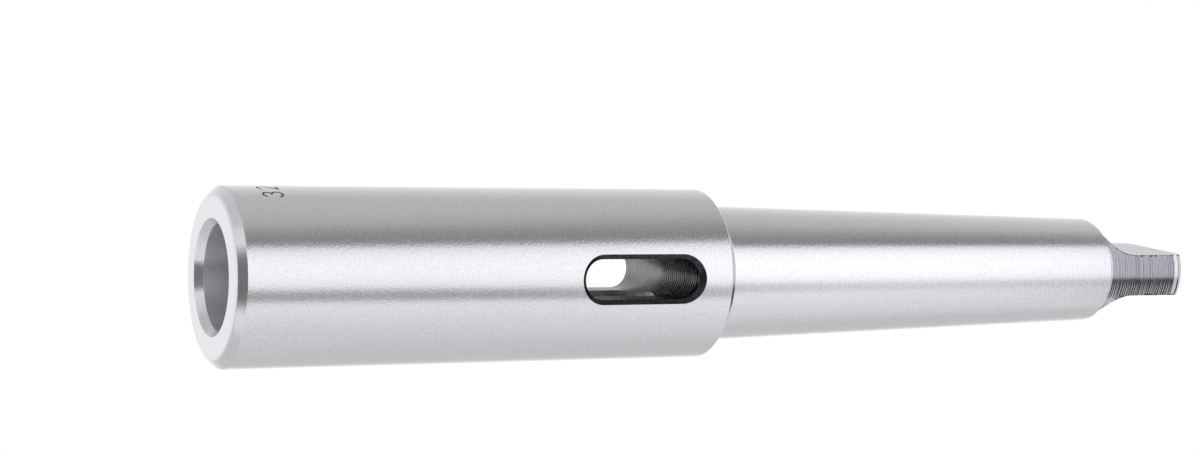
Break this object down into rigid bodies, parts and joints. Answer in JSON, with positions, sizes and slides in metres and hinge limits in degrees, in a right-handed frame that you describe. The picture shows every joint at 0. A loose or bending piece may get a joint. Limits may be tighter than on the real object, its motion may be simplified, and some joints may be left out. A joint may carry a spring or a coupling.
{
  "type": "morse taper extension sleeve",
  "caption": "Ground steel taper sleeve with a tanged outside taper, a larger plain body, an inside taper socket and a through drift slot.",
  "frame": {"origin": "centre of the socket's mouth face, on the sleeve's axis", "axes": "+Z along the axis from the socket's mouth to the tang, Y along the drift slot's way through; the sleeve stands on its mouth"},
  "size_m": [0.03, 0.03, 0.194],
  "materials": {
    "ground_steel": "ground and satin, with fine marks round the axis"
  },
  "bodies": {
    "root": {"taper_sleeve": "ground_steel"}
  },
  "joints": []
}
